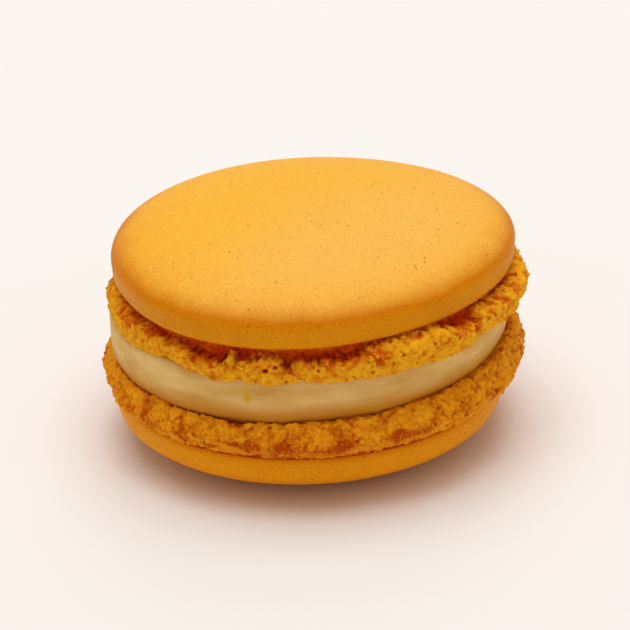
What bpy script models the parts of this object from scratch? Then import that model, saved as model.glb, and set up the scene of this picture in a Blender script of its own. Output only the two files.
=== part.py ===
"""A French macaron: two baked almond meringue shells with a layer of cream between them.

Lengths are in metres and +Z is up. The macaron lies flat, and its origin is the middle of the
small flat spot on the crown of the lower shell, which it stands on.

Each shell is worked out in its own frame: the flat base that meets the cream is the plane z = 0,
the ruffled foot is just above it, and the smooth cap is on top. The lower shell is the same thing
turned over.
"""

from collections import namedtuple
from math import pi, radians

import bpy
import numpy as np

Shell = namedtuple(
    "Shell",
    "cap_radius rim_radius dome_height side_height foot_height foot_radius base_radius"
    " groove lip shift lean",
)

# The upper shell. Its cap is the wider one, and its foot leans out over +X.
UPPER = Shell(
    cap_radius=0.0225,
    rim_radius=0.0222,
    dome_height=0.0047,
    side_height=0.0020,
    foot_height=0.0037,
    foot_radius=0.0232,
    base_radius=0.0217,
    groove=0.0009,
    lip=0.0,
    shift=0.0005,
    lean=0.011,
)
# The lower shell, upside down. Its foot stays close to its cap, and a low lip of the foot stands
# up around the cream.
LOWER = Shell(
    cap_radius=0.0217,
    rim_radius=0.0214,
    dome_height=0.0045,
    side_height=0.0017,
    foot_height=0.0043,
    foot_radius=0.0235,
    base_radius=0.0219,
    groove=0.0003,
    lip=0.0005,
    shift=0.0009,
    lean=-0.035,
)
CAP_FULLNESS = 2.6  # exponent of the cap's outline: 2 is an ellipse, more is fuller at the edge
REST_RADIUS = 0.008  # the flat spot that the macaron stands on
THREE_LOBES = 0.012  # the upper cap's outline is a little three-sided, as a share of its radius

# The cream, between the two bases.
CREAM_RADIUS = 0.0221
CREAM_EDGE = 0.0016  # how far its top and bottom edges curl in
CREAM_SHIFT = 0.0003
CREAM_BOTTOM = 0.0105
CREAM_TOP = 0.0158
BOTTOM_SLOPE = 0.035  # rise along +X of the lower shell's base
TOP_SLOPE = 0.030  # rise along +X of the upper shell's base

GAP = 0.0003  # kept between the cream and each shell
UPPER_SHIFT = 0.00076  # the upper shell sits this far along +X
UPPER_TILT = radians(1.1)  # and is this much higher at +X

STEPS_ROUND = 84  # facets round each turned piece
DOME_ROWS = 9
SIDE_ROWS = 3
FOOT_ROWS = 6
CREAM_ROWS = 10

COLLECTION = "macaron"


def clear_scene():
    for obj in list(bpy.data.objects):
        bpy.data.objects.remove(obj, do_unlink=True)


def material(name, colour, roughness):
    made = bpy.data.materials.new(name)
    made.use_nodes = True
    shader = made.node_tree.nodes["Principled BSDF"]
    shader.inputs["Base Color"].default_value = (*colour, 1.0)
    shader.inputs["Roughness"].default_value = roughness
    shader.inputs["Metallic"].default_value = 0.0
    return made


def turned(name, profile):
    """The mesh of a profile (radius, height), listed from top to bottom, turned once round Z."""
    line = bpy.data.meshes.new(name + "_profile")
    points = [(radius, 0.0, height) for radius, height in profile]
    line.from_pydata(points, [(i, i + 1) for i in range(len(points) - 1)], [])
    guide = bpy.data.objects.new(name + "_profile", line)
    bpy.context.scene.collection.objects.link(guide)
    screw = guide.modifiers.new("Screw", "SCREW")
    screw.axis = "Z"
    screw.angle = 2.0 * pi
    screw.steps = screw.render_steps = STEPS_ROUND
    screw.use_merge_vertices = True
    screw.merge_threshold = 0.00005
    graph = bpy.context.evaluated_depsgraph_get()
    mesh = bpy.data.meshes.new_from_object(guide.evaluated_get(graph))
    mesh.name = name
    bpy.data.objects.remove(guide, do_unlink=True)
    return mesh


def moved(mesh, rule):
    """Moves a mesh's vertices by a rule on the whole (count, 3) array of their places."""
    points = np.empty(len(mesh.vertices) * 3)
    mesh.vertices.foreach_get("co", points)
    mesh.vertices.foreach_set("co", rule(points.reshape(-1, 3)).ravel())
    mesh.update()
    mesh.shade_smooth()
    mesh.set_sharp_from_angle(angle=radians(50))


def shell_profile(shell, flat_radius):
    """A shell's outline from its crown to the middle of its base.

    The cap is (radius/R)^n + (height/H)^2 = 1, cut flat inside flat_radius. Its side rounds in to
    the rim, the foot swells by half a sine wave from the groove to the base, and the lip is the
    low ring where the foot passes the base.
    """
    widest = shell.foot_height + shell.side_height
    angle = np.linspace(0.0, pi / 2, DOME_ROWS)
    radius = shell.cap_radius * np.sin(angle) ** (2.0 / CAP_FULLNESS)
    height = widest + shell.dome_height * np.cos(angle)
    flat = shell.dome_height * np.sqrt(1.0 - (flat_radius / shell.cap_radius) ** CAP_FULLNESS)
    keep = radius > flat_radius * 1.05
    crown = [(0.0, widest + flat)]
    if flat_radius > 0.0:
        crown.append((flat_radius, widest + flat))
    dome = list(zip(radius[keep], height[keep]))

    down = np.arange(1, SIDE_ROWS + 1) / SIDE_ROWS
    side = list(
        zip(
            shell.cap_radius - (shell.cap_radius - shell.rim_radius) * down**2,
            widest - shell.side_height * down,
        )
    )

    groove = shell.rim_radius - shell.groove
    under_rim = [(groove, shell.foot_height - 0.2 * shell.groove)]
    along = np.linspace(0.0, 1.0, FOOT_ROWS)
    swell = shell.foot_radius - 0.5 * (groove + shell.base_radius)
    foot = list(
        zip(
            groove + (shell.base_radius - groove) * along + swell * np.sin(pi * along) ** 0.8,
            0.82 * shell.foot_height * (1.0 - along),
        )
    )
    if shell.lip > 0.0:
        foot[-1] = (shell.base_radius + 0.0011, -0.4 * shell.lip)
        foot.append((shell.base_radius + 0.0006, -shell.lip))
        foot.append((shell.base_radius + 0.0001, -0.5 * shell.lip))
        foot.append((shell.base_radius - 0.0003, 0.0))
    return crown + dome + side + under_rim + foot + [(0.0, 0.0)]


def ruffle(angle):
    """How far the foot's frill stands out or in at each angle round the shell."""
    return (
        0.00022 * np.sin(7.0 * angle + 0.6)
        + 0.00018 * np.sin(11.0 * angle + 2.1)
        + 0.00014 * np.sin(17.0 * angle + 4.0)
    )


def shell_mesh(name, shell, flat_radius, lobes):
    """The turned shell, with its cap's outline made slightly three-sided and its foot made uneven.

    A foot vertex moves out by the ruffle and by the shift along +X, both strongest half-way down
    the foot. The foot also leans: its base is sheared by lean times x, and its top isn't.
    """

    def uneven(points):
        x, y, z = points.T
        radius = np.hypot(x, y)
        angle = np.arctan2(y, x)
        below_rim = np.clip(1.0 - z / shell.foot_height, 0.0, 1.0)
        outer = np.clip((radius - 0.8 * shell.base_radius) / (0.2 * shell.base_radius), 0.0, 1.0)
        frill = np.sin(pi * np.clip(below_rim, 0.0, 0.9) / 1.1) * outer
        out = frill * (ruffle(angle) + shell.shift * np.cos(angle))
        out = out + lobes * radius * np.cos(3.0 * angle - 0.75) * (1.0 - below_rim)
        lean = shell.lean * x * below_rim
        return np.stack([x + out * np.cos(angle), y + out * np.sin(angle), z + lean], axis=1)

    mesh = turned(name, shell_profile(shell, flat_radius))
    moved(mesh, uneven)
    return mesh


def cream_mesh(name):
    """The cream: a flat turned layer with a full, rounded side, between two gently sloping planes."""
    angle = np.linspace(0.5 * pi, -0.5 * pi, CREAM_ROWS)
    bulge = (CREAM_RADIUS - CREAM_EDGE) + CREAM_EDGE * np.cos(angle) ** 0.6
    bulge[[0, -1]] = CREAM_RADIUS - CREAM_EDGE
    level = 0.5 + 0.5 * np.sin(angle)
    mesh = turned(name, [(0.0, 1.0), *zip(bulge, level), (0.0, 0.0)])

    def between_the_bases(points):
        x, y, share = points.T
        x = x + CREAM_SHIFT
        bottom = CREAM_BOTTOM + BOTTOM_SLOPE * x
        top = CREAM_TOP + TOP_SLOPE * (x - UPPER_SHIFT)
        return np.stack([x, y, bottom + (top - bottom) * share], axis=1)

    moved(mesh, between_the_bases)
    return mesh


def place(mesh, collection, finish, location=(0.0, 0.0, 0.0), rotation=(0.0, 0.0, 0.0)):
    mesh.materials.append(finish)
    obj = bpy.data.objects.new(mesh.name, mesh)
    obj.location = location
    obj.rotation_euler = rotation
    collection.objects.link(obj)
    return obj


def build():
    clear_scene()
    collection = bpy.data.collections.new(COLLECTION)
    bpy.context.scene.collection.children.link(collection)
    meringue = material("baked almond meringue", (0.72, 0.30, 0.02), 0.55)
    cream = material("cream filling", (0.68, 0.52, 0.25), 0.45)

    lower = shell_mesh("shell_bottom", LOWER, REST_RADIUS, lobes=0.0)
    lower_height = max(vertex.co.z for vertex in lower.vertices)
    place(lower, collection, meringue, (0.0, 0.0, lower_height), (pi, 0.0, 0.0))

    place(cream_mesh("filling"), collection, cream)

    upper = shell_mesh("shell_top", UPPER, 0.0, lobes=THREE_LOBES)
    place(upper, collection, meringue, (UPPER_SHIFT, 0.0, CREAM_TOP + GAP), (0.0, -UPPER_TILT, 0.0))


build()
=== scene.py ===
"""A French macaron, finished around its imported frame, then lit like a small food still.

The frame is in metres. The shapes below are worked out in millimetres and turned to metres when
they become meshes. Both shells are worked out in a frame of their own: the rim of the cap is
the level z = 0, the crown is above it, and the foot hangs below it.
"""

from itertools import combinations, product
from math import cos, pi, radians, sin

import bpy
import numpy as np
from mathutils import Matrix, Vector


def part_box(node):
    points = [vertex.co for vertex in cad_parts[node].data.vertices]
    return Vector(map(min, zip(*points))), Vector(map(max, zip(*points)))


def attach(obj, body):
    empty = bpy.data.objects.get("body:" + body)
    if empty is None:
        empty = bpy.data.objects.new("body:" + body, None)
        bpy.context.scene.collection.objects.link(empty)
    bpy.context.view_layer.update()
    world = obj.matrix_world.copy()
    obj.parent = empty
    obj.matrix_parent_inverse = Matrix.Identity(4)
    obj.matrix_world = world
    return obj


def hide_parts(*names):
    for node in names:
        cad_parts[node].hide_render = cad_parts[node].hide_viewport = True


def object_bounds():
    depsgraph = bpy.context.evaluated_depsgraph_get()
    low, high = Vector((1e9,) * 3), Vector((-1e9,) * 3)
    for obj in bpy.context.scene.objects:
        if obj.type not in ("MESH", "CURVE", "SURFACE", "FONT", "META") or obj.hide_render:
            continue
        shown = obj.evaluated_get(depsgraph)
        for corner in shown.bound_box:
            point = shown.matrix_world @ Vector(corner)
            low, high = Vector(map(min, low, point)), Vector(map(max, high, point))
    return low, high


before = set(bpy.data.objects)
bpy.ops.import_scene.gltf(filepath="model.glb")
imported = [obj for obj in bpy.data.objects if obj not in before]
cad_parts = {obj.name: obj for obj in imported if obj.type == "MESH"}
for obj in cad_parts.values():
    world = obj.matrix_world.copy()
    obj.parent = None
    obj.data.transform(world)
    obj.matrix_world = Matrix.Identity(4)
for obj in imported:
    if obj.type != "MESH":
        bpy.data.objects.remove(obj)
cad_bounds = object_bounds()

# ---------------------------------------------------------------------------------------------
# The upper cap: the smooth top of an almond meringue shell. It was piped as a round of batter,
# left until it had a skin, and baked, so it is a low even dome with a thin satin skin, a few
# pin holes and specks of almond skin, and an edge that curls under.

MM = 0.001
UPPER_CAP = {
    "radius": 22.5,
    "fullness": 2.6,  # exponent of the outline: 2 is an ellipse, more is fuller at the edge
    "dome": 4.45,  # height of the dome, and below it of the side
    "side": 2.0,
    "curl": 0.5,  # how far the lower edge curls in
    "waist": 0.08,  # how far the side draws in before its rim flares
    "lobes": 0.016,  # the outline is a little three-sided, as a share of its radius
    "seed": 11,
}
UPPER_SHIFT = 0.76  # the upper shell sits this far along +X
UPPER_SLOPE = 0.019  # and rises that way by this share
CROWN_DROP = 0.33  # what the slope leaves between the crown's middle and the top of the frame
UPPER_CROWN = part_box("shell_top")[1][2] / MM - CROWN_DROP
UPPER_RIM = UPPER_CROWN - UPPER_CAP["dome"] - UPPER_CAP["side"]

CAP_COLUMNS = 420
DOME_ROWS, SIDE_ROWS, UNDER_ROWS = 74, 22, 7
FIRST_RING = 0.035  # angle of the first ring round the crown's middle
WAIST_END = 0.86  # share of the side over which the waist draws in and comes back
LOBES_TURN = 0.68  # angle that turns the three-sided outline
UNDER_REACH = 0.22  # how far in the underside goes, as a share of the radius
UNDER_RISE = 0.35  # and how far up, in mm
SHALLOW_DENTS = 0.07  # size of the slow noise, in mm
SHEEN_X, SHEEN_Y = 0.62, -0.78  # the direction of the side where a paler sheen is painted


def scrambled(cell, seed):
    """A number from 0 to 1 for each whole-number cell (..., 3): its bits multiplied and folded."""
    x, y, z = (cell[..., axis].astype(np.int64) for axis in range(3))
    mixed = (x * 73856093) ^ (y * 19349663) ^ (z * 83492791) ^ (seed * 2654435761)
    for shift, factor in ((15, 0x2C1B3C6D), (12, 0x297A2D39), (15, 0x1B873593)):
        mixed = mixed & 0xFFFFFFFF
        mixed = (mixed ^ (mixed >> shift)) * factor
    return (mixed & 0xFFFFFFFF) / 2.0**32


def drift(points, size, seed):
    """Smooth noise from -1 to 1: a random value at each corner of a cubic lattice of this size in
    mm, joined along each axis by the curve 3t^2 - 2t^3."""
    at = points / size
    low = np.floor(at)
    share = at - low
    share = share * share * (3.0 - 2.0 * share)
    total = 0.0
    for corner in product((0, 1), repeat=3):
        weight = np.prod(np.where(corner, share, 1.0 - share), axis=-1)
        total = total + weight * scrambled(low + corner, seed)
    return 2.0 * total - 1.0


def smooth_step(low, high, value):
    """0 below low, 1 above high, and 3t^2 - 2t^3 between them."""
    share = np.clip((value - low) / (high - low), 0.0, 1.0)
    return share * share * (3.0 - 2.0 * share)


def as_mesh(name, points, marks, poles=(None, None), ring=False):
    """A mesh piece from a grid of points (rows, columns, 3) in mm that closes round its columns.

    poles holds a closing point for the first and the last row, or ring joins those two rows.
    Rows run so that rows x columns faces outwards. marks are arrays (rows, columns) that become
    attributes for the material.
    """
    rows, columns = points.shape[:2]
    index = np.arange(rows * columns).reshape(rows, columns)
    below = np.roll(index, -1, axis=0) if ring else index[1:]
    above = index if ring else index[:-1]
    quads = np.stack(
        [above, below, np.roll(below, -1, axis=1), np.roll(above, -1, axis=1)], axis=-1
    ).reshape(-1, 4)
    corners = [quads.ravel()]
    sizes = [np.full(len(quads), 4)]
    places = [points.reshape(-1, 3)]
    values = {key: [mark.ravel()] for key, mark in marks.items()}
    count = rows * columns
    for edge, turn, pole in ((index[0], 1, poles[0]), (index[-1], -1, poles[1])):
        if pole is None:
            continue
        fan = np.stack([np.full(columns, count), edge, np.roll(edge, -1)], axis=-1)
        corners.append(fan[:, ::turn].ravel())
        sizes.append(np.full(columns, 3))
        places.append(np.array([pole]))
        row = 0 if turn == 1 else -1
        for key, mark in marks.items():
            values[key].append([mark[row].mean()])
        count += 1
    places = np.concatenate(places) * MM
    corners = np.concatenate(corners)
    sizes = np.concatenate(sizes)

    mesh = bpy.data.meshes.new(name)
    mesh.vertices.add(len(places))
    mesh.vertices.foreach_set("co", places.ravel())
    mesh.loops.add(len(corners))
    mesh.loops.foreach_set("vertex_index", corners)
    mesh.polygons.add(len(sizes))
    mesh.polygons.foreach_set("loop_start", np.concatenate([[0], np.cumsum(sizes)[:-1]]))
    mesh.update(calc_edges=True)
    mesh.shade_smooth()
    for key, parts in values.items():
        attribute = mesh.attributes.new(key, "FLOAT", "POINT")
        attribute.data.foreach_set("value", np.concatenate(parts).astype(np.float32))
    mesh.validate()
    piece = bpy.data.objects.new(name, mesh)
    bpy.context.scene.collection.objects.link(piece)
    return piece


def cap_grid(cap):
    """A cap's skin as points (rows, columns, 3), from near its crown to its underside, and marks.

    Dome: (radius/R)^n + (height/H)^2 = 1. Side: height falls evenly, and radius draws in to a
    waist by a squared sine and curls in by the fifth power of the way down. Underside: straight
    in and slightly up. The radius then swells by lobes x cos(3 x angle), and the whole is pushed
    in and out by very shallow slow noise. The marks are how near the crown a point is, which the
    material uses for painted light and shade, and how near the side where a sheen is painted.
    """
    turn = np.linspace(FIRST_RING, pi / 2, DOME_ROWS)
    down = np.linspace(0.0, 1.0, SIDE_ROWS)[1:]
    inward = np.linspace(0.0, 1.0, UNDER_ROWS)[1:]
    waist = cap["waist"] * np.sin(pi * np.minimum(down / WAIST_END, 1.0)) ** 2
    radius = np.concatenate(
        [
            cap["radius"] * np.sin(turn) ** (2.0 / cap["fullness"]),
            cap["radius"] - cap["curl"] * down**5 - waist,
            cap["radius"] - cap["curl"] - (UNDER_REACH * cap["radius"]) * inward,
        ]
    )
    height = np.concatenate(
        [
            cap["side"] + cap["dome"] * np.cos(turn),
            cap["side"] * (1.0 - down),
            UNDER_RISE * np.sqrt(inward),
        ]
    )
    crown = np.concatenate([np.cos(turn), np.zeros(len(down)), np.full(len(inward), -1.0)])
    angle = np.linspace(0.0, 2.0 * pi, CAP_COLUMNS, endpoint=False)
    radius = radius[:, None] * (1.0 + cap["lobes"] * np.cos(3.0 * angle - LOBES_TURN)[None, :])
    x = radius * np.cos(angle)
    y = radius * np.sin(angle)
    z = np.repeat(height[:, None], CAP_COLUMNS, axis=1)
    points = np.stack([x, y, z], axis=-1)
    # Away from the middle of the rim: a full step at the side, a quarter of one at the crown.
    out = points / np.linalg.norm(points * (1.0, 1.0, 4.0), axis=-1, keepdims=True)
    dents = drift(points, 9.0, cap["seed"]) + 0.5 * drift(points, 4.0, cap["seed"] + 1)
    points = points + out * (SHALLOW_DENTS * dents)[..., None]
    towards_bloom = (SHEEN_X * x + SHEEN_Y * y) / cap["radius"]
    bloom = smooth_step(-0.55, 0.75, towards_bloom + 0.5 * drift(points, 11.0, cap["seed"] + 2))
    return points, {"crown": np.repeat(crown[:, None], CAP_COLUMNS, axis=1), "bloom": bloom}


def linear(colour):
    """An sRGB colour written as six hex digits, as linear light."""
    parts = [int(colour[i : i + 2], 16) / 255.0 for i in (0, 2, 4)]
    return (*(p / 12.92 if p <= 0.04045 else ((p + 0.055) / 1.055) ** 2.4 for p in parts), 1.0)


def add(tree, kind, settings=None, **links):
    """Adds a node, sets its properties and unlinked inputs, and links its other inputs.

    settings maps a property name, or an input's name or number, to its value. links maps an
    input's name, with _ for a space, or in0, in1 ... for its number, to an output socket.
    """
    node = tree.nodes.new(kind)
    for key, value in (settings or {}).items():
        if isinstance(key, str) and hasattr(node, key):
            setattr(node, key, value)
        else:
            node.inputs[key].default_value = value
    for key, source in links.items():
        number = key[2:]
        numbered = key.startswith("in") and number.isdigit()
        tree.links.new(source, node.inputs[int(number) if numbered else key.replace("_", " ")])
    return node


def blank_material(name):
    """A new material, its node tree and its shader."""
    made = bpy.data.materials.new(name)
    made.use_nodes = True
    return made, made.node_tree, made.node_tree.nodes["Principled BSDF"]


def baked_skin(name, crown_colour, bloom_colour, slope_colour, shaded_shoulder_colour, rim_painted_light_colour):
    """Baked meringue skin: dried egg white and sugar over ground almond.

    It is a satin, faintly grainy, slightly translucent shell, and it carries fine almond specks and
    pin holes. Light and shade are painted into its colour: a pale crown as if lit from above, a
    darker shoulder as shade, a lighter rim as light bounced from below, and a paler sheen on one
    side of the crown.
    """
    made, tree, shader = blank_material(name)
    place = add(tree, "ShaderNodeTexCoord").outputs["Object"]
    crown = add(tree, "ShaderNodeAttribute", {"attribute_name": "crown"}).outputs["Fac"]

    # Painted light and shade, from the rim to the crown and uneven over about 4 mm: a lighter rim as
    # light bounced from below, a darker shoulder as shade, and a pale crown as the light from above.
    blush = add(
        tree, "ShaderNodeTexNoise", {"Scale": 260.0, "Detail": 5.0, "Roughness": 0.6}, Vector=place
    )
    height = add(
        tree, "ShaderNodeMath", {"operation": "MULTIPLY_ADD", 1: 0.34},
        in0=blush.outputs["Fac"], in2=crown,
    )
    tone = add(tree, "ShaderNodeValToRGB", Fac=height.outputs[0])
    ramp = tone.color_ramp
    ramp.elements[0].position, ramp.elements[0].color = 0.12, linear(rim_painted_light_colour)
    ramp.elements[1].position, ramp.elements[1].color = 1.0, linear(crown_colour)
    for position, colour in ((0.38, shaded_shoulder_colour), (0.72, slope_colour)):
        ramp.elements.new(position).color = linear(colour)

    # Painted sheen: towards one side the crown is painted paler, as a soft highlight.
    bloom = add(tree, "ShaderNodeAttribute", {"attribute_name": "bloom"}).outputs["Fac"]
    crown_only = add(
        tree, "ShaderNodeMapRange",
        {"From Min": 0.25, "From Max": 0.85, "To Min": 0.0, "To Max": 0.75},
        Value=crown,
    )
    paler = add(tree, "ShaderNodeMath", {"operation": "MULTIPLY"}, in0=bloom, in1=crown_only.outputs[0])
    bloomed = add(
        tree, "ShaderNodeMix", {"data_type": "RGBA", 7: linear(bloom_colour)},
        Factor=paler.outputs[0], in6=tone.outputs["Color"],
    )

    # Ground almond and sugar in the skin: grain about 0.16 mm across.
    grain = add(
        tree, "ShaderNodeTexNoise", {"Scale": 6200.0, "Detail": 2.0, "Roughness": 0.7}, Vector=place
    )
    grain_tone = add(
        tree, "ShaderNodeMapRange",
        {"From Min": 0.34, "From Max": 0.62, "To Min": 0.52, "To Max": 0.0},
        Value=grain.outputs["Fac"],
    )
    freckled = add(
        tree, "ShaderNodeMix", {"data_type": "RGBA", "blend_type": "MULTIPLY", 7: linear("DE9C50")},
        Factor=grain_tone.outputs[0], in6=bloomed.outputs[2],
    )

    # Specks of almond skin and pin holes: 0.15 to 0.3 mm, a few millimetres apart.
    specks = add(tree, "ShaderNodeTexVoronoi", {"Scale": 1000.0, "Randomness": 1.0}, Vector=place)
    near = add(
        tree, "ShaderNodeMapRange",
        {"From Min": 0.07, "From Max": 0.17, "To Min": 1.0, "To Max": 0.0},
        Value=specks.outputs["Distance"],
    )
    chance = add(tree, "ShaderNodeSeparateColor", Color=specks.outputs["Color"])
    some = add(
        tree, "ShaderNodeMapRange",
        {"From Min": 0.4, "From Max": 0.95, "To Min": 0.0, "To Max": 1.0},
        Value=chance.outputs[0],
    )
    speck = add(
        tree, "ShaderNodeMath", {"operation": "MULTIPLY"}, in0=near.outputs[0], in1=some.outputs[0]
    )
    speck_tone = add(
        tree, "ShaderNodeMath", {"operation": "MULTIPLY", 1: 0.8}, in0=speck.outputs[0]
    )
    coloured = add(
        tree, "ShaderNodeMix", {"data_type": "RGBA", 7: linear("98500C")},
        Factor=speck_tone.outputs[0], in6=freckled.outputs[2],
    )
    tree.links.new(coloured.outputs[2], shader.inputs["Base Color"])

    holes = add(
        tree, "ShaderNodeMath", {"operation": "MULTIPLY_ADD", 1: -0.8},
        in0=speck.outputs[0], in2=grain.outputs["Fac"],
    )
    bump = add(
        tree, "ShaderNodeBump", {"Strength": 0.6, "Distance": 0.00010}, Height=holes.outputs[0]
    )
    tree.links.new(bump.outputs["Normal"], shader.inputs["Normal"])
    shader.inputs["Roughness"].default_value = 0.42
    shader.inputs["IOR"].default_value = 1.45
    shader.inputs["Specular IOR Level"].default_value = 0.06
    shader.inputs["Subsurface Weight"].default_value = 0.10
    shader.inputs["Subsurface Scale"].default_value = 0.0012
    shader.inputs["Subsurface Radius"].default_value = (1.0, 0.45, 0.12)
    return made


def on_upper_shell(points):
    """Puts points from the shell's frame in place: shifted along +X and rising that way."""
    x, y, z = np.moveaxis(points, -1, 0)
    return np.stack([x + UPPER_SHIFT, y, z + UPPER_RIM + UPPER_SLOPE * x], axis=-1)


upper_cap_points, upper_cap_marks = cap_grid(UPPER_CAP)
upper_cap = as_mesh(
    "upper_cap",
    on_upper_shell(upper_cap_points),
    upper_cap_marks,
    poles=(
        on_upper_shell(np.array([0.0, 0.0, UPPER_CAP["side"] + UPPER_CAP["dome"]])),
        on_upper_shell(np.array([0.0, 0.0, UNDER_RISE])),
    ),
)
# Painted light and shade: the crown and its sheen are painted pale, the shoulder dark and the rim
# lighter.
skin = baked_skin(
    "baked almond meringue, dried skin",
    crown_colour="FFC23A",
    bloom_colour="FFC65E",
    slope_colour="FFBC38",
    shaded_shoulder_colour="DE8400",
    rim_painted_light_colour="EEA008",
)
upper_cap.data.materials.append(skin)
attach(upper_cap, "root")
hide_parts("shell_top")

# ---------------------------------------------------------------------------------------------
# The upper foot: the frill that bursts out under the cap as the batter rises. It is open dry
# crumb, torn into lumps, ridges and bubbles, and it hangs back from the rim by an uneven, deep
# gap, painted dark red as shade.

UPPER_FOOT = {
    "height": 3.8,
    "seed": 40,
    "turned_over": False,
    # The visible face: share of the way down from the rim, and radius in mm.
    "face": [(0.0, 21.2), (0.14, 22.0), (0.38, 22.9), (0.62, 23.05), (0.84, 22.85), (1.0, 22.5)],
    # The way back, in under the base and up inside: share of the way down, and radius.
    "back": [(1.03, 21.6), (1.02, 19.0), (0.4, 18.4), (-0.08, 19.0), (-0.06, 20.4)],
    "inner": 20.9,  # radius of the wall behind the ledge
    "smooth_edge": 0.02,  # share of the way down over which the crumb gets rough
    "shift": 0.55,  # how far the frill leans out at +X, in mm
    "lean": 0.011,  # the slope of its end along X
    "clean_lip": 0.85,  # how much lighter its last part is painted, as light bounced from the cream: it gets less painted crease shade and browning
    "browning": 0.0,
    "seam_shade": 0.0,  # how much painted shade darkens the line where the foot meets the cap
    "moat": 0.0,  # how much deeper the gap by the cream is at the front left, in mm
    "dip": 0.0,  # how much nearer the rim its end is at the front, in mm
    "hidden_drop": 1.9,  # the most that the frill starts below the rim round the back, in mm
    # Where the frill starts, in mm below the rim, at angles from the front towards +X.
    "ledge": [
        (-84, 0.3), (-76, 0.8), (-68, 1.2), (-58, 1.2), (-52, 1.5), (-44, 1.5), (-37, 1.7),
        (-32, 2.3), (-26, 2.3), (-24.8, 1.9), (-23.9, 1.0), (-22.9, 1.0), (-21.8, 1.9), (-17, 1.8),
        (-15, 1.4), (-12, 1.4), (-9.8, 1.5), (-8.4, 2.3), (-5.6, 2.3), (-4.2, 1.7), (0, 1.75),
        (5, 1.65), (10, 1.7), (14, 1.4), (16.5, 0.7), (22, 0.55), (30, 0.5), (38, 0.5),
        (41, 1.5), (46, 1.8), (50, 1.6), (53, 0.7), (60, 1.0), (66, 0.6), (72, 1.1), (79, 0.6),
    ],
    # Bubbles that broke open: angle, share of the way down, radius in mm.
    "bubbles": [
        (-10.8, 0.52, 0.24), (-13.4, 0.62, 0.22), (24, 0.50, 0.2), (-66, 0.6, 0.22), (57, 0.5, 0.25),
    ],
    # Damp, caramel-coloured places: angle, share of the way down, width and height in mm.
    "caramel": [
        (18.0, 0.45, 1.9, 2.2), (-28, 0.4, 2.6, 1.4), (4, 0.38, 5.0, 1.0), (-52, 0.3, 4.0, 1.0),
    ],
}
FOOT_COLUMNS = 1120
FACE_ROWS = 66
BACK_ROWS = 22
NOISE_RADIUS = 22.0  # mm: slow noise is read on a cylinder, so that it doesn't follow the shape
FACE_RADIUS = 22.5  # mm: turns a bearing into a distance along the face
DEGREE = radians(1.0)


def grains(points, size, seed):
    """Cell noise: how far each point is from the nearest of one random centre in each cube of
    this size in mm, as a share of that size."""
    at = points / size
    low = np.floor(at)
    nearest = np.full(at.shape[:-1], 9.0)
    for step in product((-1, 0, 1), repeat=3):
        cell = low + step
        centre = cell + np.stack([scrambled(cell, seed + axis) for axis in range(3)], axis=-1)
        nearest = np.minimum(nearest, np.linalg.norm(at - centre, axis=-1))
    return nearest


def pushed(points, amount):
    """The grid moved along its unit normals, the cross products of its central differences."""
    along = np.roll(points, -1, axis=0) - np.roll(points, 1, axis=0)
    around = np.roll(points, -1, axis=1) - np.roll(points, 1, axis=1)
    normal = np.cross(along, around)
    normal = normal / np.maximum(np.linalg.norm(normal, axis=-1, keepdims=True), 1e-9)
    return points + normal * amount[..., None]


def smooth_through(at, spots):
    """The Catmull-Rom curve through spots, rows of numbers, at places counted in spots."""
    spots = np.array(spots, float)
    low = np.clip(np.floor(at).astype(int), 0, len(spots) - 2)
    t = (at - low)[..., None]
    p0, p1, p2, p3 = (spots[np.clip(low + k, 0, len(spots) - 1)] for k in (-1, 0, 1, 2))
    bend = 2 * p0 - 5 * p1 + 4 * p2 - p3
    twist = 3 * p1 - p0 - 3 * p2 + p3
    return 0.5 * (2 * p1 + (p2 - p0) * t + bend * t**2 + twist * t**3)


def ledge_round(foot, bearing):
    """How far below the rim the frill starts at each bearing: straight lines between the foot's
    own (angle, drop) pairs, and past their ends between random ones 4 to 7 degrees apart."""
    seen = foot["ledge"]
    rng = np.random.default_rng(foot["seed"])
    start, end = seen[-1][0] + 5.0, seen[0][0] + 360.0
    at = start + np.cumsum(rng.uniform(4.0, 7.0, int((end - start) / 5.6)))
    at = at[at < end - 2.0]
    drops = foot["hidden_drop"] * rng.uniform(0.1, 1.0, len(at)) ** 1.5
    angles = np.concatenate([[a for a, _ in seen], at])
    drops = np.concatenate([[d for _, d in seen], drops])
    return np.interp(bearing, angles, drops, period=360.0)


def foot_rows(foot, ledge):
    """The share of the way down and the radius of each grid point, before the crumb is torn.

    On the face, radius is a smooth curve of the share. Two fifths of the face's rows gather at
    the ledge, so that its steep wall is fine enough. The rest come back up inside to the rim.
    """
    row = np.linspace(0.0, 1.0, FACE_ROWS)[:, None]
    over = np.maximum(ledge / foot["height"] - 0.08, 0.01)
    under = ledge / foot["height"] + 0.09
    share = np.where(
        row < 0.1,
        over * row / 0.1,
        np.where(
            row < 0.5,
            over + (under - over) * (row - 0.1) / 0.4,
            under + (1.0 - under) * (row - 0.5) / 0.5,
        ),
    )
    face_share = np.array([spot[0] for spot in foot["face"]])
    share = share * face_share[-1]
    place = np.interp(share, face_share, np.arange(len(face_share)))
    radius = smooth_through(place, foot["face"])[..., 1]
    loop = [foot["face"][-1], *foot["back"], foot["face"][0]]
    along = np.linspace(0.0, 1.0, BACK_ROWS + 2)[1:-1] ** 1.5
    behind = smooth_through(along * (len(loop) - 1), loop)
    all_round = np.ones_like(ledge)
    share = np.concatenate([share, behind[:, :1] * all_round])
    radius = np.concatenate([radius, behind[:, 1:] * all_round])
    return share, radius


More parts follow.
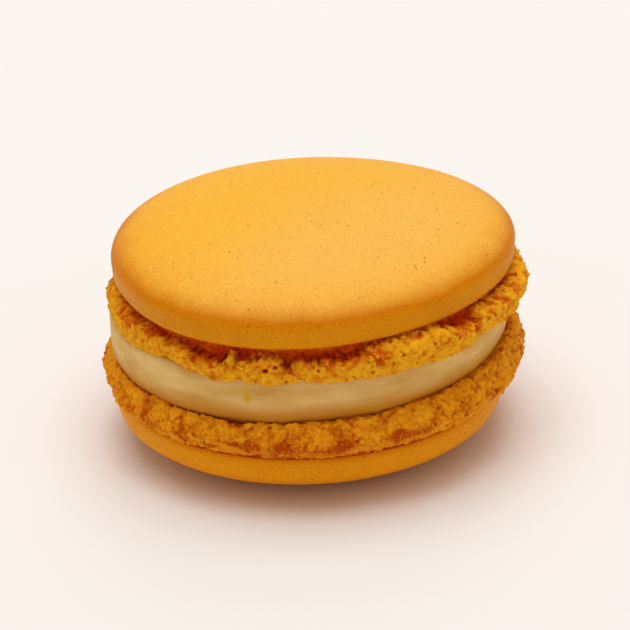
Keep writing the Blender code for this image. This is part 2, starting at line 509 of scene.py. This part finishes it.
def torn_crumb(points, rough, seed):
    """The grid swelled into crumb along its normals, and how deep in a crease each point is.

    It swells by rounded grains (a constant less distance^2) of four sizes, each bent by slower
    noise, by harsh noise, and by tears, 0.5 - |noise| - |finer noise|, which peak in sharp edges.
    """
    bend = 0.4 * drift(points, 1.5, seed + 8)[..., None]
    big = grains(points + bend, 1.6, seed + 10)
    points = pushed(points, rough * 0.32 * (0.55 - np.minimum(big, 1.0) ** 2))
    bend = 0.3 * drift(points, 0.7, seed + 20)[..., None]
    middling = grains(points + bend, 0.85, seed + 13)
    points = pushed(points, rough * 0.19 * (0.5 - np.minimum(middling, 1.0) ** 2))
    bend = 0.15 * drift(points, 0.35, seed + 21)[..., None]
    small = 0.5 - np.minimum(grains(points + bend, 0.45, seed + 16), 1.0) ** 2
    torn = 0.5 - np.abs(drift(points, 0.62, seed + 24)) - np.abs(drift(points, 0.3, seed + 25))
    harsh = drift(points, 0.45, seed + 22) + 0.7 * drift(points, 0.24, seed + 23)
    points = pushed(points, rough * (0.08 * small + 0.15 * harsh + 0.20 * torn))
    fine = 0.5 - np.minimum(grains(points, 0.27, seed + 18), 1.0) ** 2
    points = pushed(points, rough * 0.07 * fine)
    crease = (
        0.55 * smooth_step(0.4, 0.95, big)
        + 0.50 * smooth_step(0.35, 0.9, middling)
        - 0.35 * small
        - 0.25 * fine
        - 0.25 * harsh
        - 0.45 * torn
    )
    return points, crease


def foot_grid(foot):
    """A foot as a closed ring of points (rows, columns, 3), and its marks.

    Ruffles push the face in and out by sine waves and slow noise. Above the ragged ledge it is
    pressed back to the inner radius. Then it is torn into crumb, and sinks at pin holes and
    broken bubbles. The marks are painted shade in its creases and pin holes, how damp it is,
    painted shade and red glow where it is deep inside, and its share of the way down. Near the
    end of the foot the crease shade and the damp are lessened, so that edge is painted lighter.
    """
    h, seed = foot["height"], foot["seed"]
    angle = np.linspace(0.0, 2.0 * pi, FOOT_COLUMNS, endpoint=False)[None, :]
    # The front of the foot is at -Y, so bearings are counted from there, and the lower foot's
    # other way round, since it is turned over.
    from_front = 90.0 - np.degrees(angle) if foot["turned_over"] else np.degrees(angle) + 90.0
    bearing = (from_front + 180.0) % 360.0 - 180.0
    ledge = ledge_round(foot, bearing)
    share, radius = foot_rows(foot, ledge)
    on_back = (np.arange(len(radius)) >= FACE_ROWS)[:, None]

    left_of_front = smooth_step(-66.0, -48.0, bearing) * (1.0 - smooth_step(-26.0, -12.0, bearing))
    moat = foot["moat"] * left_of_front * smooth_step(22.1, 21.4, radius) * on_back
    towards_front = np.maximum(np.cos(np.radians(bearing)), 0.0)
    dip = foot["dip"] * towards_front * smooth_step(0.45, 0.85, share)
    height = dip + moat * (share > 0.5) - h * share
    share = np.clip(share, 0.0, 1.1)
    outer = smooth_step(19.4, foot["inner"], radius)

    around = np.stack(
        [NOISE_RADIUS * np.cos(angle) + 0 * height, NOISE_RADIUS * np.sin(angle) + 0 * height, height],
        axis=-1,
    )
    ruffle = (
        0.16 * np.sin(7.0 * angle + 0.6 + seed)
        + 0.12 * np.sin(11.0 * angle + 2.1 + seed)
        + 0.26 * drift(around, 4.2, seed)
        + 0.24 * drift(around, 2.1, seed + 1)
    )
    frill = smooth_step(0.05, 0.4, share) * outer
    radius = radius + frill * (ruffle + foot["shift"] * np.cos(angle))
    waves = 0.18 * drift(around, 3.0, seed + 2) + 0.16 * drift(around, 1.3, seed + 3)
    lift = smooth_step(0.5, 1.0, share) * outer * waves

    ragged = 0.30 * drift(around, 1.1, seed + 5) + 0.36 * drift(around, 0.42, seed + 6)
    below = share * h - ledge + ragged * np.clip(0.3 + ledge, 0.0, 1.1)
    pressed_back = (1.0 - smooth_step(-0.26, 0.2, below)) * outer * smooth_step(0.0, 0.25, ledge)
    pressed_back = pressed_back * (share < 0.8)
    inset = np.maximum(radius - foot["inner"] - 0.3 * drift(around, 1.6, seed + 7), 0.0)
    radius = radius - pressed_back * inset
    x, y = radius * np.cos(angle), radius * np.sin(angle)
    points = np.stack([x, y, height + lift + foot["lean"] * x * share], axis=-1)

    rough = outer * smooth_step(0.0, foot["smooth_edge"], share)
    points, crease = torn_crumb(points, rough, seed)

    # Pin holes, 0.3 to 0.4 mm across and about 2 mm apart, and the broken bubbles.
    pit = 1.0 - smooth_step(0.08, 0.17, grains(points, 1.5, seed + 30))
    for middle, level, size in foot["bubbles"]:
        away = np.hypot((bearing - middle) * DEGREE * FACE_RADIUS, (share - level) * h)
        pit = np.maximum(pit, 1.6 * (1.0 - smooth_step(0.6 * size, 1.25 * size, away)))
    points = pushed(points, -rough * 0.28 * pit)

    # Painted light and shade: creases and pin holes are marked for painted shade, and the last part of
    # the foot is painted lighter, as light bounced off the cream, by lessening that shade and the
    # browning.
    lip = 1.0 - foot["clean_lip"] * smooth_step(0.5, 0.85, share)
    recess = np.clip((crease - 0.1) * lip + 0.8 * pit, 0.0, 1.0) * outer
    syrup = drift(around, 3.4, seed + 50) + 0.35 * drift(around, 1.1, seed + 51)
    damp_and_shade = foot["browning"] + 0.6 * smooth_step(0.3, 0.8, syrup)
    for middle, level, width, tall in foot["caramel"]:
        off = (bearing - middle) * DEGREE * FACE_RADIUS / (0.5 * width)
        reach = np.hypot(off, (share - level) * h / (0.5 * tall))
        reach = reach + 0.4 * drift(around, 0.8, seed + 52)
        damp_and_shade = np.maximum(damp_and_shade, 0.95 * (1.0 - smooth_step(0.3, 1.3, reach)))
    damp_and_shade = damp_and_shade * lip

    # Painted shade, and the red of light scattered many times in the crumb: the wall behind the
    # ledge, the broken bubbles, the inside by the cream, and the seam with the cap.
    inside = 1.0 - smooth_step(foot["inner"] + 0.2, foot["inner"] + 0.7, radius)
    by_ledge = (1.0 - smooth_step(0.1, 1.0, below)) * smooth_step(0.3, 0.9, ledge)
    by_ledge = by_ledge * (share < 0.9) * outer * (0.2 + recess)
    seam_shade = foot["seam_shade"] * (1.0 - smooth_step(0.05, 0.10, share)) * outer
    deep_shade = np.maximum.reduce([pressed_back * inset / 1.3, inside * on_back, by_ledge, seam_shade])
    marks = {
        "recess": recess,
        "caramel": np.clip(damp_and_shade, 0.0, 1.0),
        "hollow": np.clip(deep_shade + 0.7 * pit, 0.0, 1.0),
        "share": share,
    }
    return points, marks


def baked_crumb(name, lit_colour, dull_colour, deep_shade_colour, caramel_and_shade_colour):
    """Baked meringue crumb: torn, dry, porous almond foam with no skin.

    It is matt and grainy, golden, and browner where damp. Light and shade are painted into its
    colour: its creases and pin holes are painted browner as shade, and its hollows redder, as shade
    and as the light that has passed through the foam many times there.
    """
    made, tree, shader = blank_material(name)
    place = add(tree, "ShaderNodeTexCoord").outputs["Object"]
    recess = add(tree, "ShaderNodeAttribute", {"attribute_name": "recess"}).outputs["Fac"]
    caramel = add(tree, "ShaderNodeAttribute", {"attribute_name": "caramel"}).outputs["Fac"]
    hollow = add(tree, "ShaderNodeAttribute", {"attribute_name": "hollow"}).outputs["Fac"]

    # Almond meal: grains up to 0.5 mm across, lighter and darker than the foam round them.
    meal = add(
        tree, "ShaderNodeTexNoise", {"Scale": 1900.0, "Detail": 5.0, "Roughness": 0.78}, Vector=place
    )
    meal_tone = add(tree, "ShaderNodeValToRGB", Fac=meal.outputs["Fac"])
    ramp = meal_tone.color_ramp
    ramp.elements[0].position, ramp.elements[0].color = 0.34, linear(dull_colour)
    ramp.elements[1].position, ramp.elements[1].color = 0.60, linear(lit_colour)

    # Browner patches 1 to 2 mm across, where the foam held more syrup.
    patches = add(
        tree, "ShaderNodeTexNoise", {"Scale": 620.0, "Detail": 4.0, "Roughness": 0.6}, Vector=place
    )
    patch = add(
        tree, "ShaderNodeMapRange",
        {"From Min": 0.50, "From Max": 0.64, "To Min": 0.0, "To Max": 0.70},
        Value=patches.outputs["Fac"],
    )
    # Painted shade: creases and pin holes are browned, together with the syrup patches.
    crease_shade_and_patches = add(
        tree, "ShaderNodeMath", {"operation": "MULTIPLY_ADD", 1: 0.8},
        in0=recess, in2=patch.outputs[0],
    )
    damp_and_shade = add(
        tree, "ShaderNodeMath", {"operation": "MULTIPLY_ADD", 1: 0.9},
        in0=caramel, in2=crease_shade_and_patches.outputs[0],
    )
    speckled = add(
        tree, "ShaderNodeMath", {"operation": "MULTIPLY_ADD", 1: -2.4, 2: 2.0},
        in0=meal.outputs["Fac"],
    )
    uneven = add(
        tree, "ShaderNodeMath", {"operation": "MULTIPLY"},
        in0=damp_and_shade.outputs[0], in1=speckled.outputs[0],
    )
    share = add(tree, "ShaderNodeClamp", {"Max": 0.92}, Value=uneven.outputs[0])
    browned = add(
        tree, "ShaderNodeMix", {"data_type": "RGBA", 7: linear(caramel_and_shade_colour)},
        Factor=share.outputs[0], in6=meal_tone.outputs["Color"],
    )

    # Painted shade and glow: hollows are painted redder still, standing in for shade and for light
    # scattered many times inside them, more so between the grains than on them.
    grainy = add(
        tree, "ShaderNodeMath", {"operation": "MULTIPLY_ADD", 1: 1.6, 2: -0.95},
        in0=meal.outputs["Fac"],
    )
    shaded = add(
        tree, "ShaderNodeMath", {"operation": "MULTIPLY_ADD", "use_clamp": True},
        in0=hollow, in1=grainy.outputs[0], in2=hollow,
    )
    deep_shade = add(
        tree, "ShaderNodeMix", {"data_type": "RGBA", 7: linear(deep_shade_colour)},
        Factor=shaded.outputs[0], in6=browned.outputs[2],
    )
    tree.links.new(deep_shade.outputs[2], shader.inputs["Base Color"])
    bump = add(
        tree, "ShaderNodeBump", {"Strength": 0.8, "Distance": 0.00022}, Height=meal.outputs["Fac"]
    )
    tree.links.new(bump.outputs["Normal"], shader.inputs["Normal"])
    shader.inputs["Roughness"].default_value = 0.62
    shader.inputs["IOR"].default_value = 1.42
    shader.inputs["Specular IOR Level"].default_value = 0.07
    shader.inputs["Subsurface Weight"].default_value = 0.06
    shader.inputs["Subsurface Scale"].default_value = 0.0012
    shader.inputs["Subsurface Radius"].default_value = (1.0, 0.4, 0.08)
    return made


crumb = baked_crumb(
    "baked almond meringue, torn crumb",
    lit_colour="FFC020",
    dull_colour="FFA610",
    deep_shade_colour="DC3A06",
    caramel_and_shade_colour="D44E00",
)
upper_foot_points, upper_foot_marks = foot_grid(UPPER_FOOT)
upper_foot = as_mesh("upper_foot", on_upper_shell(upper_foot_points), upper_foot_marks, ring=True)
upper_foot.data.materials.append(crumb)
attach(upper_foot, "root")
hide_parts("shell_top")

# ---------------------------------------------------------------------------------------------
# Loose crumbs: bits of the same dry meringue, 0.1 to 0.4 mm across, with a few larger ones. They
# broke off as the foot tore, and cling to its faces.

CRUMB_CORNERS = 12
CRUMBS_ON_A_FOOT = 700
LEAST_CRUMB, CRUMB_SPREAD = 0.05, 0.12  # radius in mm, and how much more the largest ones have
TOUCHING = 1.2  # corners of a crumb nearer than this, in radii, share an edge


def crumb_cloud(name, material, points, marks, foot, extra):
    """Many small twenty-sided crumbs as one mesh.

    Each is an icosahedron (corners (0, +-1, +-golden ratio) and their turns) whose corners are
    moved at random, stretched, turned by a random quaternion and set on a random point of the
    foot's face, more often on the parts that stand out. extra holds more of them, placed one by
    one: angle from the front, share of the way down, and radius in mm.
    """
    rng = np.random.default_rng(foot["seed"] + 7)
    tries = 3 * CRUMBS_ON_A_FOOT
    golden = (1.0 + 5.0**0.5) / 2.0
    signs = np.array([(a, b * golden, 0.0) for a in (-1, 1) for b in (-1, 1)])
    ball = np.concatenate([signs, np.roll(signs, 1, axis=1), np.roll(signs, 2, axis=1)])
    ball = ball / np.linalg.norm(ball[0])
    near = np.linalg.norm(ball[:, None] - ball[None], axis=-1) < TOUCHING
    faces = [
        (i, j, k)
        for i, j, k in combinations(range(CRUMB_CORNERS), 3)
        if near[i, j] and near[j, k] and near[i, k]
    ]
    faces = np.array([f if np.linalg.det(ball[list(f)]) > 0 else f[::-1] for f in faces])

    rows = rng.integers(2, FACE_ROWS - 1, tries)
    columns = rng.integers(0, FOOT_COLUMNS, tries)
    sunk = marks["recess"][rows, columns] + 0.9 * marks["hollow"][rows, columns]
    keep = rng.random(tries) > sunk
    rows, columns = rows[keep][:CRUMBS_ON_A_FOOT], columns[keep][:CRUMBS_ON_A_FOOT]
    sizes = LEAST_CRUMB + CRUMB_SPREAD * rng.random(len(rows)) ** 2.5
    for bearing, share, size in extra:
        angle = 90.0 - bearing if foot["turned_over"] else bearing - 90.0
        column = int(round(angle % 360.0 / 360.0 * FOOT_COLUMNS)) % FOOT_COLUMNS
        row = int(np.argmin(np.abs(marks["share"][:FACE_ROWS, column] - share)))
        rows, columns = np.append(rows, row), np.append(columns, column)
        sizes = np.append(sizes, size)

    spin = rng.normal(size=(len(rows), 4))
    w, x, y, z = (spin / np.linalg.norm(spin, axis=1, keepdims=True)).T
    turns = np.stack(
        [
            [1 - 2 * (y * y + z * z), 2 * (x * y - z * w), 2 * (x * z + y * w)],
            [2 * (x * y + z * w), 1 - 2 * (x * x + z * z), 2 * (y * z - x * w)],
            [2 * (x * z - y * w), 2 * (y * z + x * w), 1 - 2 * (x * x + y * y)],
        ]
    ).transpose(2, 0, 1)
    bodies = ball[None] * rng.uniform(0.75, 1.3, (len(rows), CRUMB_CORNERS, 1))
    bodies = bodies * rng.uniform(0.65, 1.5, (len(rows), 1, 3)) * sizes[:, None, None]
    bodies = np.einsum("nij,nkj->nki", turns, bodies) + points[rows, columns][:, None]
    corners = (faces[None] + CRUMB_CORNERS * np.arange(len(rows))[:, None, None]).reshape(-1, 3)
    mesh = bpy.data.meshes.new(name)
    mesh.from_pydata((bodies.reshape(-1, 3) * MM).tolist(), [], corners.tolist())
    for key, most in (("recess", 0.25), ("caramel", 0.35), ("hollow", 0.0)):
        attribute = mesh.attributes.new(key, "FLOAT", "POINT")
        tint = most * rng.random(len(rows)) ** 2
        attribute.data.foreach_set("value", np.repeat(tint, CRUMB_CORNERS).astype(np.float32))
    piece = bpy.data.objects.new(name, mesh)
    bpy.context.scene.collection.objects.link(piece)
    mesh.materials.append(material)
    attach(piece, "root")


crumb_cloud(
    "upper_crumbs", crumb, on_upper_shell(upper_foot_points), upper_foot_marks, UPPER_FOOT,
    [(-15.6, 0.36, 0.26), (43.5, 0.52, 0.3), (-23.5, 0.3, 0.2)],
)

# ---------------------------------------------------------------------------------------------
# The cream: a soft butter filling piped on the lower shell and pressed flat by the upper one, so
# its side is full, smooth and a little wavy, and its lower edge draws in.

CREAM = {"radius": 22.25, "shift": 0.3, "top_curl": 0.5, "bottom_curl": 1.2, "seed": 70}
CREAM_MIDDLE_BOTTOM = 10.2  # the heights of its two faces in the middle, and how they rise to +X
CREAM_MIDDLE_TOP = 16.2
BOTTOM_SLOPE = 0.035
TOP_SLOPE = 0.030
LOW_PART, HIGH_PART = 0.45, 0.18  # the shares of its height that curl in
CREAM_COLUMNS, CREAM_SIDE_ROWS, CREAM_FACE_ROWS = 560, 30, 7
FACE_START = 0.80  # the faces' first ring, as a share of the radius
SMEAR_RADIUS = 22.2  # mm: turns a bearing into a distance along the side
# A crumb's yellow streak, and two fainter spots: bearing, height over the lower face, width,
# height and strength.
SMEARS = [(-18.4, 4.6, 1.4, 2.2, 0.6), (-18.0, 3.8, 1.1, 1.4, 1.0), (-27.5, 2.7, 1.3, 1.0, 0.6)]


def cream_grid():
    """The cream's side and faces as points (rows, columns, 3), and its marks.

    A full side, whose lower and upper parts curl in as the square of how far past their start
    they are, between two sloping planes, waved by slow noise. The marks are the share of the
    way up and the yellow smears.
    """
    level = np.concatenate(
        [np.ones(CREAM_FACE_ROWS), np.linspace(1.0, 0.0, CREAM_SIDE_ROWS), np.zeros(CREAM_FACE_ROWS)]
    )
    face = np.linspace(FACE_START, 1.0, CREAM_FACE_ROWS + 1)[:-1]
    inner = np.concatenate([face, np.ones(CREAM_SIDE_ROWS), face[::-1]])
    angle = np.linspace(0.0, 2.0 * pi, CREAM_COLUMNS, endpoint=False)[None, :]
    low = np.clip((LOW_PART - level) / LOW_PART, 0.0, 1.0)
    high = np.clip((level - (1.0 - HIGH_PART)) / HIGH_PART, 0.0, 1.0)
    radius = CREAM["radius"] - CREAM["bottom_curl"] * low**2 - CREAM["top_curl"] * high**2
    radius = np.repeat((radius * inner)[:, None], CREAM_COLUMNS, axis=1)
    side = smooth_step(0.97, 1.0, inner)[:, None]
    x, y = np.cos(angle) * radius, np.sin(angle) * radius
    around = np.stack([x, y, 2.2 * level[:, None] * np.ones_like(x)], axis=-1)
    wave = 0.10 * drift(around, 6.5, CREAM["seed"]) + 0.045 * drift(around, 2.4, CREAM["seed"] + 1)
    radius = radius + side * wave
    x, y = np.cos(angle) * radius + CREAM["shift"], np.sin(angle) * radius
    bottom = CREAM_MIDDLE_BOTTOM + BOTTOM_SLOPE * x
    top = CREAM_MIDDLE_TOP + TOP_SLOPE * (x - UPPER_SHIFT)
    height = (top - bottom) * level[:, None]
    smear = np.zeros_like(x)
    bearing = (np.degrees(angle) + 270.0) % 360.0 - 180.0
    for at, up, wide, tall, most in SMEARS:
        off = (bearing - at) * DEGREE * SMEAR_RADIUS / (0.5 * wide)
        reach = np.hypot(off, (height - up) / (0.5 * tall))
        reach = reach + 0.5 * drift(around, 0.6, CREAM["seed"] + 2)
        smear = np.maximum(smear, most * (1.0 - smooth_step(0.3, 1.3, reach)))
    marks = {"level": np.repeat(level[:, None], CREAM_COLUMNS, axis=1), "smear": smear}
    return np.stack([x, y, bottom + height], axis=-1), marks


def butter_cream(name):
    """Butter cream: an emulsion of butter, sugar and egg, spread smooth.

    It is a pale, slightly translucent satin solid with soft uneven gloss and faint paler streaks.
    """
    made, tree, shader = blank_material(name)
    place = add(tree, "ShaderNodeTexCoord").outputs["Object"]
    stretched = add(tree, "ShaderNodeMapping", {"Scale": (1.0, 1.0, 3.0)}, Vector=place)
    # Streaks left by the spreading, 6 mm long and 2 mm high.
    streaks = add(
        tree, "ShaderNodeTexNoise", {"Scale": 170.0, "Detail": 3.0, "Roughness": 0.5},
        Vector=stretched.outputs[0],
    )
    tone = add(tree, "ShaderNodeValToRGB", Fac=streaks.outputs["Fac"])
    ramp = tone.color_ramp
    ramp.elements[0].position, ramp.elements[0].color = 0.30, linear("D6A34F")
    ramp.elements[1].position, ramp.elements[1].color = 0.72, linear("F2C982")
    # Painted shade: the cream's lower part, which curls in under, is painted browner, as shade.
    level = add(tree, "ShaderNodeAttribute", {"attribute_name": "level"}).outputs["Fac"]
    painted_low_shade = add(tree, "ShaderNodeValToRGB", Fac=level)
    edge = painted_low_shade.color_ramp
    edge.elements[0].position, edge.elements[0].color = 0.10, (1.0, 1.0, 1.0, 1.0)
    edge.elements[1].position, edge.elements[1].color = 0.56, (0.0, 0.0, 0.0, 1.0)
    edge.elements.new(0.30).color = (0.8, 0.8, 0.8, 1.0)
    low_shaded = add(
        tree, "ShaderNodeMix", {"data_type": "RGBA", 7: linear("C88210")},
        Factor=painted_low_shade.outputs["Color"], in6=tone.outputs["Color"],
    )
    smear = add(tree, "ShaderNodeAttribute", {"attribute_name": "smear"}).outputs["Fac"]
    smeared = add(
        tree, "ShaderNodeMix", {"data_type": "RGBA", 7: linear("DCA60A")},
        Factor=smear, in6=low_shaded.outputs[2],
    )
    tree.links.new(smeared.outputs[2], shader.inputs["Base Color"])
    gloss = add(
        tree, "ShaderNodeMapRange", {"From Min": 0.3, "From Max": 0.7, "To Min": 0.4, "To Max": 0.6},
        Value=streaks.outputs["Fac"],
    )
    tree.links.new(gloss.outputs[0], shader.inputs["Roughness"])
    soft = add(tree, "ShaderNodeTexNoise", {"Scale": 900.0, "Detail": 2.0}, Vector=place)
    bump = add(
        tree, "ShaderNodeBump", {"Strength": 0.25, "Distance": 0.0001}, Height=soft.outputs["Fac"]
    )
    tree.links.new(bump.outputs["Normal"], shader.inputs["Normal"])
    shader.inputs["IOR"].default_value = 1.40
    shader.inputs["Specular IOR Level"].default_value = 0.08
    shader.inputs["Subsurface Weight"].default_value = 0.2
    shader.inputs["Subsurface Scale"].default_value = 0.002
    shader.inputs["Subsurface Radius"].default_value = (1.0, 0.7, 0.4)
    return made


cream_points, cream_marks = cream_grid()
cream_layer = as_mesh(
    "cream_layer",
    cream_points,
    cream_marks,
    poles=(
        (CREAM["shift"], 0.0, CREAM_MIDDLE_TOP + TOP_SLOPE * (CREAM["shift"] - UPPER_SHIFT)),
        (CREAM["shift"], 0.0, CREAM_MIDDLE_BOTTOM + BOTTOM_SLOPE * CREAM["shift"]),
    ),
)
cream_layer.data.materials.append(butter_cream("butter cream, spread"))
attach(cream_layer, "root")
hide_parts("filling")

# ---------------------------------------------------------------------------------------------
# The lower shell: the same meringue upside down. Its cap is a little narrower, and it stands on
# its crown. Its foot turns up round the cream in a ragged crest.

LOWER_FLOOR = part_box("shell_bottom")[0][2] / MM
LOWER_CAP = {
    "radius": 21.7,
    "fullness": 2.6,
    "dome": 4.5,
    "side": 1.75,
    "curl": 0.35,
    "waist": 0.0,
    "lobes": 0.0,
    "seed": 15,
}
FLAT_SPOT = 0.16  # how much the crown is flattened where the macaron stands
LOWER_RIM = LOWER_FLOOR + LOWER_CAP["dome"] - FLAT_SPOT + LOWER_CAP["side"]
LOWER_FOOT = {
    "height": 4.9,
    "seed": 140,
    "turned_over": True,
    "face": [
        (0.0, 20.9), (0.04, 21.25), (0.08, 21.6), (0.2, 22.2), (0.38, 23.15), (0.56, 23.5),
        (0.78, 23.05), (0.94, 22.6), (1.0, 22.25),
    ],
    "back": [
        (1.0, 21.95), (0.99, 21.6), (0.985, 21.2), (0.97, 20.4), (0.9, 18.6), (0.4, 18.4),
        (-0.06, 19.0), (-0.04, 20.6),
    ],
    "inner": 21.0,
    "smooth_edge": 0.16,
    "shift": 0.68,
    "lean": -0.035,
    "clean_lip": 0.5,
    "browning": 0.08,
    "seam_shade": 0.85,
    "moat": 0.6,
    "dip": 0.42,
    "hidden_drop": 0.7,
    "ledge": [
        (-80, 0.1), (-66, 0.2), (-62, 0.5), (-57, 0.5), (-53, 0.2), (-30, 0.1), (0, 0.1),
        (30, 0.1), (48, 0.15), (51, 0.5), (58, 0.6), (63, 0.2), (80, 0.1),
    ],
    "bubbles": [
        (26.5, 0.25, 0.22), (-17.5, 0.3, 0.22), (12, 0.6, 0.2), (14, 0.2, 0.2), (-33, 0.6, 0.2),
    ],
    "caramel": [
        (-36.5, 0.4, 1.4, 1.3),
        (-28.5, 0.35, 1.5, 1.1),
        (-16.0, 0.5, 2.6, 1.6),
        (-7.0, 0.48, 4.2, 2.0),
        (4.5, 0.42, 3.6, 1.4),
        (25.5, 0.5, 6.6, 1.6),
        # This band along the foot's first part, by the seam with the cap, is painted shade.
        (0.0, 0.05, 72.0, 0.9),
    ],
}


def on_lower_shell(points):
    """Turns points over from the shell's frame, and stands the crown's flat spot on the floor."""
    x, y, z = np.moveaxis(points, -1, 0)
    return np.stack([x, -y, np.maximum(LOWER_RIM - z, LOWER_FLOOR)], axis=-1)


lower_cap_points, lower_cap_marks = cap_grid(LOWER_CAP)
lower_cap = as_mesh(
    "lower_cap",
    on_lower_shell(lower_cap_points),
    lower_cap_marks,
    poles=(
        on_lower_shell(np.array([0.0, 0.0, LOWER_CAP["side"] + LOWER_CAP["dome"]])),
        on_lower_shell(np.array([0.0, 0.0, UNDER_RISE])),
    ),
)
# The base's colours are nearly even, and its rim is painted a little lighter, as a highlight below the
# rim.
lower_cap.data.materials.append(
    baked_skin(
        "baked almond meringue, dried skin of the base",
        crown_colour="FAA408",
        bloom_colour="FAA408",
        slope_colour="F8A000",
        shaded_shoulder_colour="FAA404",
        rim_painted_light_colour="FFAE10",
    )
)
lower_foot_points, lower_foot_marks = foot_grid(LOWER_FOOT)
lower_foot = as_mesh("lower_foot", on_lower_shell(lower_foot_points), lower_foot_marks, ring=True)
base_crumb = baked_crumb(
    "baked almond meringue, torn crumb of the base",
    lit_colour="FFB21A",
    dull_colour="F88E06",
    deep_shade_colour="FF5E08",
    caramel_and_shade_colour="BE3A00",
)
lower_foot.data.materials.append(base_crumb)
for piece in (lower_cap, lower_foot):
    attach(piece, "root")
    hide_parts("shell_bottom")
crumb_cloud(
    "lower_crumbs", base_crumb, on_lower_shell(lower_foot_points), lower_foot_marks, LOWER_FOOT,
    [(-17.0, 0.99, 0.30), (-16.6, 1.0, 0.22), (-31.0, 0.97, 0.2), (12.0, 0.97, 0.2)],
)

# ---------------------------------------------------------------------------------------------
# The set: a wide matt off-white board, a big soft daylight lamp overhead, a small one behind, and
# walls of a warmer white that fill the shadows.

FLOOR_SIZE = 4.0
floor_level = cad_bounds[0].z
half = FLOOR_SIZE / 2
floor_mesh = bpy.data.meshes.new("floor")
floor_mesh.from_pydata(
    [(x, y, floor_level) for x, y in ((-half, -half), (half, -half), (half, half), (-half, half))],
    [],
    [(0, 1, 2, 3)],
)
floor = bpy.data.objects.new("floor", floor_mesh)
bpy.context.scene.collection.objects.link(floor)
board, _, board_shader = blank_material("matt off-white board")
board_shader.inputs["Base Color"].default_value = linear("F4EFE9")
board_shader.inputs["Roughness"].default_value = 0.9
board_shader.inputs["Specular IOR Level"].default_value = 0.1
floor_mesh.materials.append(board)


DAYLIGHT = (0.876, 0.911, 1.0)  # the lamps' colour, as linear light


def area_lamp(name, size, power, location, target):
    """A square daylight lamp at location that points at target."""
    light = bpy.data.lights.new(name, "AREA")
    light.size = size
    light.energy = power
    light.color = DAYLIGHT
    lamp = bpy.data.objects.new(name, light)
    lamp.location = location
    lamp.rotation_euler = (Vector(location) - Vector(target)).to_track_quat("Z", "Y").to_euler()
    bpy.context.scene.collection.objects.link(lamp)


MIDDLE = (0.0, 0.0, 0.013)
area_lamp("top_lamp", 0.95, 9.01, (0.0, 0.03, 1.1), MIDDLE)
area_lamp("back_lamp", 0.4, 1.03, (0.08, 0.7, 0.70), MIDDLE)

world = bpy.data.worlds.new("warm white walls")
world.use_nodes = True
walls = world.node_tree.nodes["Background"]
walls.inputs["Color"].default_value = (1.0, 0.95, 0.82, 1.0)
walls.inputs["Strength"].default_value = 0.47
scene = bpy.context.scene
scene.world = world
scene.view_settings.view_transform = "Standard"

# The camera stands 0.4 m away with a long lens, looking down on the macaron from the front.
CAMERA_DISTANCE = 0.4
CAMERA_DOWN = radians(25.25)
CAMERA_ROLL = radians(2.19)
CAMERA_AIM = Vector((0.00096, 0.0, 0.01317))
SENSOR_WIDTH, FOCAL_LENGTH = 36.0, 204.0

camera_data = bpy.data.cameras.new("camera")
camera_data.sensor_width = SENSOR_WIDTH
camera_data.lens = FOCAL_LENGTH
camera_data.clip_start, camera_data.clip_end = 0.01, 20.0
camera = bpy.data.objects.new("camera", camera_data)
back = Vector((0.0, -cos(CAMERA_DOWN), sin(CAMERA_DOWN)))
level_right = Vector((1.0, 0.0, 0.0))
level_up = Vector((0.0, sin(CAMERA_DOWN), cos(CAMERA_DOWN)))
right = level_right * cos(CAMERA_ROLL) - level_up * sin(CAMERA_ROLL)
up = level_right * sin(CAMERA_ROLL) + level_up * cos(CAMERA_ROLL)
turn = Matrix((right, up, back)).transposed()
camera.matrix_world = Matrix.Translation(CAMERA_AIM + back * CAMERA_DISTANCE) @ turn.to_4x4()
scene.collection.objects.link(camera)
scene.camera = camera
